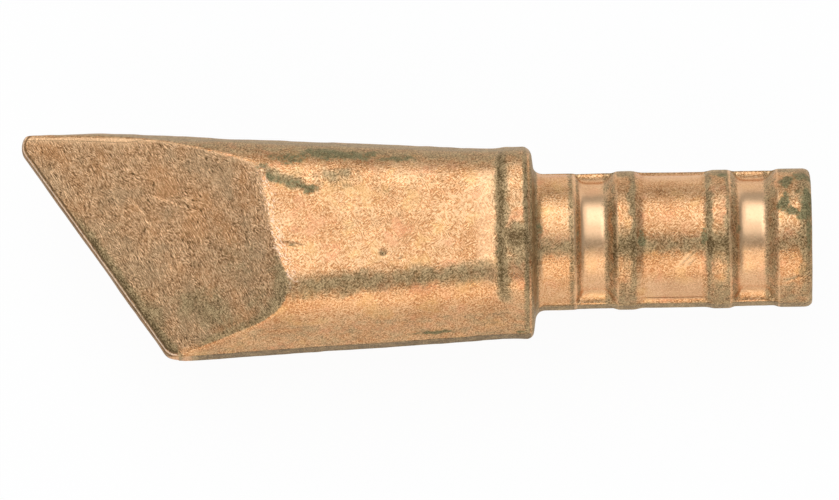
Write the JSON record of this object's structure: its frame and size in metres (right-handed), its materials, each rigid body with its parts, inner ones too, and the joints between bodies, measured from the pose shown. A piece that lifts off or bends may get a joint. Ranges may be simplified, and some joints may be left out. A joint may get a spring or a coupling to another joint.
{
  "type": "soldering copper bit",
  "caption": "Solid forged copper soldering bit with a slanted chisel edge, a raised collar and a ribbed round shank that slides into a torch holder.",
  "frame": {"origin": "centre of the flat rear end face, on the shank's axis", "axes": "+X along the shank's axis, out of the rear end, with the chisel tip towards -X; +Z out of the upper broad face of the head; +Y towards the side that carries the tip of the slanted edge"},
  "size_m": [0.112, 0.0334, 0.0254],
  "materials": {
    "copper_ground": "ground matte, browned by heat",
    "copper_forged": "frosted as forged",
    "copper_bright": "satin bright",
    "copper_dulled": "dulled, with brown and green tarnish"
  },
  "bodies": {
    "root": {"wedge_tip": "copper_ground", "head_block": "copper_forged", "collar": "copper_dulled", "neck": "copper_bright", "front_waist": "copper_bright", "front_rib": "copper_dulled", "barrel": "copper_forged", "rear_rib": "copper_dulled", "rear_waist": "copper_bright", "end_boss": "copper_dulled"}
  },
  "joints": []
}
